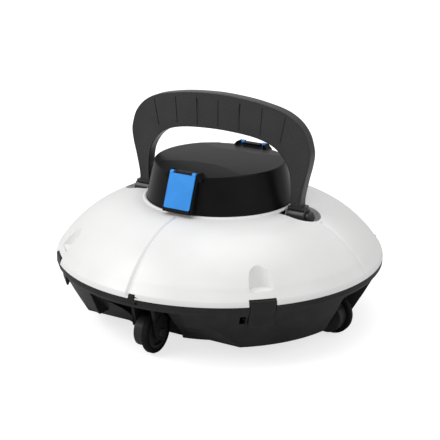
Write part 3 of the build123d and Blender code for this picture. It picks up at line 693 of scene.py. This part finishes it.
def buildArch(s):
    piece = archBand(s)
    barrel = rod(s["barrel"], *s["barrelX"], "X", (0.0, s["pivot"]), 72)
    roundEdges(barrel, lambda a, b: abs(a.x - b.x) < 0.0001, s["barrelRound"], 3)
    foot = block(*s["foot"])
    roundEdges(foot, lambda a, b: abs(a.z - b.z) > 0.001, s["footRound"], 5)
    for tool in (barrel, foot):
        combine(piece, "UNION", around(tool, halves))
    bore = rod(s["bore"], *s["boreX"], "X", (0.0, s["pivot"]))
    seat = rod(s["seat"], *s["seatX"], "X", (0.0, s["pivot"]))
    for tool in (bore, seat):
        combine(piece, "DIFFERENCE", around(tool, halves))
    combine(piece, "DIFFERENCE", gripLines(s))
    soften(piece, s["softEdge"], angle=38.0)
    dress(piece, "handle_grey", "handle", "handle")


buildArch(arch)

# pivot pins: a round knob on the right, a slotted flush head on the left
pins = {
    "pivot": 0.1265, "stem": 0.0040, "stemFrom": 0.0772, "lap": 0.0005, "head": 0.0066, "headX": 0.1055,
    "tip": {"right": 0.1150, "left": 0.1080}, "round": {"right": 0.0045, "left": 0.0005},
    "slotHalf": (0.001, 0.0006, 0.005),
}


def buildPins(s):
    for side, tip in s["tip"].items():
        head = rod(s["head"], s["headX"], tip, "X", (0.0, s["pivot"]), 72)
        roundEdges(head, lambda a, b: min(a.x, b.x) > tip - 0.0001, s["round"][side], 6)
        stem = rod(s["stem"], s["stemFrom"], s["headX"] + s["lap"], "X", (0.0, s["pivot"]), 48)
        combine(head, "UNION", [stem])
        if side == "left":
            deep, wide, tall = s["slotHalf"]
            slot = block((tip - deep, -wide, s["pivot"] - tall), (tip + deep, wide, s["pivot"] + tall))
            combine(head, "DIFFERENCE", [slot])
            head.data.transform(Matrix.Rotation(pi, 4, "Z"))
        head.name = "pivotPin_" + side
        smoothShade(head)
        dress(head, "handle_grey", "cleaner", "handle_pin_" + side)


buildPins(pins)

# black hub with its crown, facets, outlet frames and flap hinges
hub = {
    "outer": [(0.0807, 0.1330), (0.0719, 0.1740), (0.0705, 0.1753)],
    "inner": [(0.0140, 0.1720), (0.0413, 0.1715), (0.0675, 0.1703), (0.0689, 0.1690), (0.0777, 0.1330)],
    "crown": [(0.0431, 0.1765), (0.0140, 0.1770)], "roof": [(0.0, 0.1770), (0.0, 0.1720)], "steps": 240,
    "chord": 0.032, "facetSlope": 0.09, "facetZ": 0.17667, "facetHalf": 0.09, "facetFar": 0.1,
    "lean": tan(radians(20.5)), "frontY": 0.0894, "frameLow": 0.1366, "frameTop": 0.1746,
    "frameHalf": 0.0180, "frameBack": 0.0660, "frameRound": 0.0022, "frameRoundY": -0.0700,
    "roomHalf": 0.0161, "roomLow": 0.1405, "roomTop": 0.19, "roomDeep": 0.0023, "roomFar": -0.11,
    "window": ((-0.0125, -0.1000, 0.1435), (0.0125, -0.0500, 0.1700)), "windowRound": 0.0015,
    "hingeZ": 0.1754, "hingeIn": 0.0012, "relief": 0.0032, "bore": 0.0012, "boreHalf": 0.0160,
    "ear": [(0.0163, 0.1690), (0.0163, 0.1778), (0.0177, 0.1778), (0.0226, 0.1722), (0.0226, 0.1690)],
    "earFront": 0.0015, "earDeep": 0.0107, "webHalf": 0.0106, "webZ": (0.1739, 0.1769), "webLap": 0.0008,
    "knuckle": 0.0017, "knuckleHalf": 0.0108,
    "panelRoom": ((0.0550, -0.02105, 0.14095), (0.0950, 0.02105, 0.16305)), "panelAngle": 135.0,
    "edge": 0.0005,
}
above = 0.2  # higher than any piece that is cut up there


def frontY(z):
    return -(hub["frontY"] - (z - hub["frameLow"]) * hub["lean"])


hub["hingeY"] = frontY(hub["hingeZ"]) + hub["hingeIn"]


def sidePrism(name, outline, half):
    return prism(name, [(-half, y, z) for y, z in outline], (2 * half, 0, 0))


def hingeRod(radius, low, high, sides=32):
    return rod(radius, low, high, "X", (hub["hingeY"], hub["hingeZ"]), sides)


def cutFacets(piece, s):
    near, far = -s["chord"], -s["facetFar"]
    drop = s["facetSlope"] * (s["facetFar"] - s["chord"])
    facet = sidePrism("tool", [
        (near, s["facetZ"]), (far, s["facetZ"] - drop), (far, above), (near, above),
    ], s["facetHalf"])
    combine(piece, "DIFFERENCE", around(facet, halves))


def addFrames(piece, s):
    low, top, back = s["frameLow"], s["frameTop"], -s["frameBack"]
    frameBlock = sidePrism("tool", [
        (frontY(low), low), (frontY(top), top), (back, top), (back, low),
    ], s["frameHalf"])
    roundEdges(
        frameBlock, lambda a, b: abs(a.z - b.z) > 0.01 and max(a.y, b.y) < s["frameRoundY"],
        s["frameRound"], 5,
    )
    combine(piece, "UNION", around(frameBlock, halves))
    deep, low, top, far = s["roomDeep"], s["roomLow"], s["roomTop"], s["roomFar"]
    room = sidePrism("tool", [
        (far, low), (frontY(low) + deep, low), (frontY(top) + deep, top), (far, top),
    ], s["roomHalf"])
    combine(piece, "DIFFERENCE", around(room, halves))
    window = block(*s["window"])
    roundEdges(window, lambda a, b: abs(a.y - b.y) > 0.001, s["windowRound"], 3)
    combine(piece, "DIFFERENCE", around(window, halves))


def addHinges(piece, s):
    relief = hingeRod(s["relief"], -s["boreHalf"], s["boreHalf"])
    combine(piece, "DIFFERENCE", around(relief, halves))
    for side in (1, -1):
        outline = [(side * x, s["hingeY"] - s["earFront"], z) for x, z in s["ear"]]
        combine(piece, "UNION", around(prism("tool", outline, (0, s["earDeep"], 0)), halves))
    half, (low, high), back = s["webHalf"], s["webZ"], -s["frameBack"] - s["webLap"]
    combine(piece, "UNION", around(block((-half, s["hingeY"], low), (half, back, high)), halves))
    knuckle = hingeRod(s["knuckle"], -s["knuckleHalf"], s["knuckleHalf"])
    combine(piece, "UNION", around(knuckle, halves))
    bore = hingeRod(s["bore"], -s["boreHalf"], s["boreHalf"], 24)
    combine(piece, "DIFFERENCE", around(bore, halves))


def buildHub(s):
    crown = smoothLine([s["outer"][-1]] + s["crown"], 8)
    outline = s["outer"][:-1] + crown + s["roof"] + s["inner"]
    piece = lathe("hubCover", outline, s["steps"])
    cutFacets(piece, s)
    addFrames(piece, s)
    addHinges(piece, s)
    combine(piece, "DIFFERENCE", around(block(*s["panelRoom"]), (s["panelAngle"],)))
    soften(piece, s["edge"], angle=24.0, weld=0.00005)
    dress(piece, "hub_black", "cleaner", "hub_cover")


buildHub(hub)

# blue outlet flaps
flap = {
    "half": 0.0157, "low": 0.1409, "top": 0.1726, "tabX": 0.0112, "proud": 0.0014, "back": 0.0018,
    "skin": 0.0007, "edge": 0.0003, "corner": 0.0016, "knuckle": 0.0027, "lap": 0.0001,
    "bore": 0.00126, "boreHalf": 0.0300,
}


def buildFlap(s):
    low, top, hinge = s["low"], s["top"], hub["hingeZ"]
    proud, back, skin = s["proud"], s["back"], s["skin"]
    piece = sidePrism("outletFlap_front", [
        (frontY(low) - proud, low), (frontY(hinge) - proud, hinge),
        (frontY(hinge) + back, hinge), (frontY(low) + back, low),
    ], s["half"])
    roundEdges(
        piece, lambda a, b: abs(a.x - b.x) < 0.001 and max(a.z, b.z) < low + 0.0001, s["corner"], 4,
    )
    gap = sidePrism("tool", [
        (frontY(top) - skin, top), (frontY(above) - skin, above), (0.0, above), (0.0, top),
    ], s["tabX"])
    combine(piece, "DIFFERENCE", [gap])
    for side in (1, -1):
        ends = sorted((side * (s["tabX"] + s["lap"]), side * (s["half"] - s["lap"])))
        combine(piece, "UNION", [hingeRod(s["knuckle"], *ends)])
    combine(piece, "DIFFERENCE", [hingeRod(s["bore"], -s["boreHalf"], s["boreHalf"], 24)])
    soften(piece, s["edge"], segments=3)
    rear = turnedCopy(piece, 180, "outletFlap_rear")
    dress(piece, "flap_blue", "outlet_flap_front", "outlet_flap_front")
    dress(rear, "flap_blue", "outlet_flap_rear", "outlet_flap_rear")


buildFlap(flap)

# black base: flange, skirt, flats, wheel wells and forks
base = {
    "outer": [
        (0.1505, 0.0170), (0.1525, 0.0200), (0.1640, 0.0400), (0.1740, 0.0590),
        (0.1786, 0.0650), (0.1796, 0.0665), (0.1796, 0.0720),
    ],
    "room": [
        (0.1070, 0.0200), (0.1497, 0.0200), (0.1612, 0.0410), (0.1685, 0.0560), (0.1685, 0.0660),
        (0.1070, 0.0660),
    ],
    "steps": 288, "edge": 0.0005, "low": 0.0170, "high": 0.0720, "wall": 0.003,
    "bowl": 0.1040, "bowlZ": (0.0200, 0.0700), "flangeIn": 0.1688, "flangeZ": (0.0659, 0.0800),
    "flatFoot": 0.1200, "flatSlope": 45.0 / 42.0, "flatFootZ": 0.0200, "flatTop": 0.0620,
    "flatLeft": -0.0560, "lobeZ": 0.0320, "ledgeFrom": 0.0550, "ledgeZ": 0.0450, "flatReach": 0.15,
    "wellIn": 0.1080, "wellFar": 0.220, "wellRoof": 0.0621, "wellSlope": tan(radians(12.0)), "below": -0.01,
    "axleY": -0.1380, "axleZ": 0.0230, "axleHole": 0.0030, "axleHalf": 0.0300,
    "forkGap": 0.0105, "forkThick": 0.0032, "forkBoss": 0.0085, "rootY": (-0.017, 0.021),
    "rootZ": (0.0610, 0.0632),
    "gusset": 0.0012, "gussetZ": (0.0300, 0.0626), "gussetY": -0.013, "gussetLong": 0.025, "gussetLap": 0.001,
    "gussetFoot": 0.0003,
    "clipSlot": ((0.1610, -0.0137, 0.0512), (0.1900, 0.0137, 0.0900)),
    "window": ((0.1600, -0.0218, 0.0508), (0.1850, -0.0160, 0.0602)),
    "tab": ((0.1730, 0.0010, 0.0700), (0.1794, 0.0084, 0.0764)), "tabRound": 0.0015,
    "inlet": ((0.0280, -0.0110, 0.0), (0.0820, 0.0110, 0.0210)),
}


def wellWedge(s, growth=0.0):
    near, far, below = s["wellIn"] - growth, s["wellFar"], s["below"]
    nearHalf, farHalf = near * s["wellSlope"] + growth, far * s["wellSlope"] + growth
    return prism("tool", [
        (near, -nearHalf, below), (far, -farHalf, below), (far, farHalf, below), (near, nearHalf, below),
    ], (0, 0, s["wellRoof"] + growth - below))


# steps seen from outside, cut by a slope that leans out from the foot
def flatCut(s, growth=0.0):
    left, step, ledge = s["flatLeft"] - growth, s["ledgeFrom"] + growth, s["ledgeZ"] + growth
    lobe, reach, below = s["lobeZ"] + growth, s["flatReach"], s["below"]
    steps = [
        (-reach, below), (-reach, lobe), (left, lobe), (left, s["flatTop"]), (step, s["flatTop"]),
        (step, ledge), (reach, ledge), (reach, below),
    ]
    tool = prism("tool", [(0.05, y, z) for y, z in steps], (0.25, 0, 0))
    foot = s["flatFoot"] - growth * hypot(1.0, s["flatSlope"]) - (s["flatFootZ"] + 0.02) * s["flatSlope"]
    far = foot + 0.12 * s["flatSlope"]
    line = [(foot, -0.02), (far, 0.10), (0.4, 0.10), (0.4, -0.02)]
    combine(tool, "INTERSECT", [prism("tool", [(x, -0.2, z) for x, z in line], (0, 0.4, 0))])
    return around(tool, crosswise)


def forkArm(s, near, far):
    boss = rod(s["forkBoss"], near, far, "X", (s["axleY"], s["axleZ"]), 48)
    (front, rear), (low, high) = s["rootY"], s["rootZ"]
    root = block((near, s["axleY"] + front, low), (far, s["axleY"] + rear, high))
    arm = joined([boss, root])
    editing(arm)
    bpy.ops.mesh.select_all(action="SELECT")
    bpy.ops.mesh.convex_hull()
    bpy.ops.mesh.select_all(action="SELECT")
    bpy.ops.mesh.normals_make_consistent(inside=False)
    bpy.ops.object.mode_set(mode="OBJECT")
    return arm


def hollowBase(piece, s):
    room = lathe("tool", s["room"], s["steps"])
    combine(piece, "DIFFERENCE", flatCut(s))
    combine(piece, "DIFFERENCE", around(wellWedge(s), quarters))
    combine(room, "DIFFERENCE", flatCut(s, s["wall"]))
    combine(room, "DIFFERENCE", around(wellWedge(s, s["wall"]), quarters))
    combine(piece, "DIFFERENCE", [room])
    flange, (low, high) = s["flangeIn"], s["flangeZ"]
    top = lathe("tool", [(0.0, low), (flange, low), (flange, high), (0.0, high)], s["steps"])
    combine(piece, "DIFFERENCE", [top])
    bowl = rod(s["bowl"], *s["bowlZ"], "Z", (0.0, 0.0), 144)
    combine(piece, "DIFFERENCE", [bowl])


def addForks(piece, s):
    gap, face = s["forkGap"], s["forkGap"] + s["forkThick"]
    inner, (low, high) = face - s["gussetLap"], s["gussetZ"]
    line = [(inner, low), (face - s["gussetFoot"], low), (face + s["gusset"], high), (inner, high)]
    for side in (1, -1):
        arm = forkArm(s, *sorted((side * gap, side * face)))
        combine(piece, "UNION", around(arm, quarters))
        outline = [(side * x, s["axleY"] + s["gussetY"], z) for x, z in line]
        combine(piece, "UNION", around(prism("tool", outline, (0, s["gussetLong"], 0)), quarters))
    hole = rod(s["axleHole"], -s["axleHalf"], s["axleHalf"], "X", (s["axleY"], s["axleZ"]), 32)
    combine(piece, "DIFFERENCE", around(hole, quarters))


def buildBase(s):
    piece = lathe("baseShell", [(0.0, s["low"])] + s["outer"] + [(0.0, s["high"])], s["steps"])
    hollowBase(piece, s)
    addForks(piece, s)
    combine(piece, "DIFFERENCE", around(block(*s["clipSlot"])))
    combine(piece, "DIFFERENCE", around(block(*s["window"])))
    combine(piece, "UNION", around(tabBlock(s["tab"], s["tabRound"]), crosswise))
    combine(piece, "DIFFERENCE", around(block(*s["inlet"]), halves))
    soften(piece, s["edge"], angle=30.0, weld=0.00005)
    dress(piece, "base_black", "cleaner", "base_shell")


buildBase(base)

# spring clips on the four diagonals
clip = {
    "outline": [
        (0.1636, 0.0534), (0.1688, 0.0524), (0.1697, 0.0500), (0.1706, 0.0478), (0.1718, 0.0472),
        (0.1728, 0.0480), (0.1732, 0.0510), (0.1740, 0.0590), (0.1782, 0.0650), (0.1792, 0.0665),
        (0.1792, 0.0770), (0.1780, 0.0780), (0.1714, 0.0770), (0.1702, 0.0760), (0.1760, 0.0760),
        (0.1760, 0.0675), (0.1706, 0.0600), (0.1676, 0.0572), (0.1636, 0.0570),
    ],
    "half": 0.0133, "pin": 0.0018, "pinHalf": 0.0172, "pinAt": (0.1656, 0.0550), "edge": 0.0004,
    "corners": {"front_right": 315, "rear_right": 45, "rear_left": 135, "front_left": 225},
}


def buildClips(s):
    tongue = prism("tool", [(r, -s["half"], z) for r, z in s["outline"]], (0, 2 * s["half"], 0))
    pin = rod(s["pin"], -s["pinHalf"], s["pinHalf"], "Y", s["pinAt"], 32)
    combine(tongue, "UNION", [pin])
    soften(tongue, s["edge"], angle=30.0)
    for corner, angle in s["corners"].items():
        piece = turnedCopy(tongue, angle, "rimClip_" + corner)
        dress(piece, "base_black", "rim_clip_" + corner, "rim_clip_" + corner)
    bpy.data.objects.remove(tongue)


buildClips(clip)

# wheels: a rubber disc beside a small grooved drum, on an axle with two caps
wheel = {
    "tyre": [
        (0.0170, 0.0030), (0.0214, 0.0030), (0.0224, 0.0035), (0.0230, 0.0046),
        (0.0230, 0.0084), (0.0224, 0.0095), (0.0214, 0.0100), (0.0170, 0.0100),
    ],
    "core": [
        (0.00306, -0.0102), (0.0056, -0.0102), (0.0060, -0.0099), (0.0168, -0.0099), (0.0175, -0.0092),
        (0.0175, 0.00297), (0.0170, 0.0030), (0.0170, 0.0100), (0.0144, 0.0100), (0.0140, 0.0096),
        (0.0140, 0.0070), (0.0060, 0.0070), (0.0060, 0.0099), (0.0056, 0.0102), (0.00306, 0.0102),
    ],
    "axle": [
        (0.0, -0.0152), (0.0040, -0.0152), (0.0046, -0.0146), (0.0046, -0.0137), (0.0030, -0.0137),
        (0.0030, 0.0137), (0.0046, 0.0137), (0.0046, 0.0146), (0.0040, 0.0152), (0.0, 0.0152),
    ],
    "at": (0.0, -0.1380, 0.0230), "steps": 96, "axleSteps": 48, "smooth": 35.0,
    "groove": ((-0.0110, -0.0009, 0.0162), (0.0022, 0.0009, 0.0195)), "grooves": 4, "grooveFrom": 52,
    "places": {"front": 0, "right": 90, "rear": 180, "left": 270},
}


def buildWheels(s):
    tyre = lathe("tool", s["tyre"], s["steps"], "X", s["at"])
    core = lathe("tool", s["core"], s["steps"], "X", s["at"])
    axle = lathe("tool", s["axle"], s["axleSteps"], "X", s["at"])
    grooves = []
    for k in range(s["grooves"]):
        cut = block(*s["groove"])
        turn = Matrix.Rotation(radians(90 * k + s["grooveFrom"]), 4, "X")
        cut.data.transform(Matrix.Translation(s["at"]) @ turn)
        grooves.append(cut)
    combine(core, "DIFFERENCE", grooves)
    for piece in (tyre, core, axle):
        smoothShade(piece, s["smooth"])
    for place, angle in s["places"].items():
        body = "wheel_" + place
        dress(turnedCopy(tyre, angle, "tyreRing_" + place), "tyre_rubber", body, "tyre_" + place)
        dress(turnedCopy(core, angle, "wheelCore_" + place), "wheel_black", body, "wheel_" + place)
        dress(turnedCopy(axle, angle, "wheelAxle_" + place), "wheel_black", "cleaner", "axle_" + place)
    for piece in (tyre, core, axle):
        bpy.data.objects.remove(piece)


buildWheels(wheel)

# thin plate under the base
plate = {
    "radius": 0.1180, "low": 0.0105, "high": 0.0170, "chamfer": 0.0025, "steps": 180, "edge": 0.0003,
    "mouthX": (0.0240, 0.0860), "mouthHalf": 0.0150, "mouthDeep": 0.003, "mouthRound": 0.002,
    "screwCircle": 0.097, "screwHole": 0.0023, "screwTop": 0.0200, "headHole": 0.0044, "headDeep": 0.0032,
}


def buildPlate(s):
    low, high, cut = s["low"], s["high"], s["chamfer"]
    piece = lathe("bottomPlate", [
        (0.0, low), (s["radius"] - cut, low), (s["radius"], low + cut), (s["radius"], high), (0.0, high),
    ], s["steps"])
    combine(piece, "DIFFERENCE", around(wellWedge(base), quarters))
    (near, far), half = s["mouthX"], s["mouthHalf"]
    mouth = block((near, -half, 0.0), (far, half, low + s["mouthDeep"]))
    roundEdges(mouth, lambda a, b: abs(a.z - b.z) > 0.001, s["mouthRound"], 4)
    combine(piece, "DIFFERENCE", around(mouth, halves))
    combine(piece, "DIFFERENCE", around(block(*base["inlet"]), halves))
    for radius, top in ((s["screwHole"], s["screwTop"]), (s["headHole"], low + s["headDeep"])):
        hole = rod(radius, 0.0, top, "Z", (s["screwCircle"], 0.0), 32)
        combine(piece, "DIFFERENCE", around(hole))
    soften(piece, s["edge"], angle=30.0)
    dress(piece, "base_black", "cleaner", "bottom_plate")


buildPlate(plate)

# control panel, button and lamp on the hub's rear left
panel = {
    "angle": hub["panelAngle"], "back": 0.0600, "face": 0.0776, "half": 0.0210, "low": 0.1410, "high": 0.1630,
    "mid": 0.1520, "faceRound": 0.0012, "edge": 0.0003,
    "holes": ((0.0060, 0.0700, 0.0), (0.0040, 0.0660, 0.0130), (0.0025, 0.0720, -0.0130)), "holeFar": 0.0900,
    "button": 0.00595, "buttonX": (0.0722, 0.0794), "buttonRound": 0.0009,
    "lens": 0.0025, "lensX": (0.0720, 0.0779), "lensAside": -0.0130, "lensRound": 0.0008,
}


def buildPanel(s):
    piece = block((s["back"], -s["half"], s["low"]), (s["face"], s["half"], s["high"]))
    roundEdges(piece, lambda a, b: min(a.x, b.x) > s["face"] - 0.0001, s["faceRound"], 4)
    for radius, near, aside in s["holes"]:
        hole = rod(radius, near, s["holeFar"], "X", (aside, s["mid"]), 48)
        combine(piece, "DIFFERENCE", [hole])
    soften(piece, s["edge"], angle=40.0)
    panelPiece = turnedCopy(piece, s["angle"], "controlPanel")
    button = rod(s["button"], *s["buttonX"], "X", (0.0, s["mid"]), 64)
    roundEdges(button, lambda a, b: min(a.x, b.x) > s["buttonX"][1] - 0.0001, s["buttonRound"], 4)
    smoothShade(button)
    lens = rod(s["lens"], *s["lensX"], "X", (s["lensAside"], s["mid"]), 48)
    roundEdges(lens, lambda a, b: min(a.x, b.x) > s["lensX"][1] - 0.0001, s["lensRound"], 3)
    smoothShade(lens)
    dress(panelPiece, "hub_black", "cleaner", "control_panel")
    dress(turnedCopy(button, s["angle"], "powerButton"), "button_grey", "power_button", "power_button")
    dress(turnedCopy(lens, s["angle"], "statusLens"), "lens_clear", "cleaner", "status_lens")
    for tool in (piece, button, lens):
        bpy.data.objects.remove(tool)


buildPanel(panel)
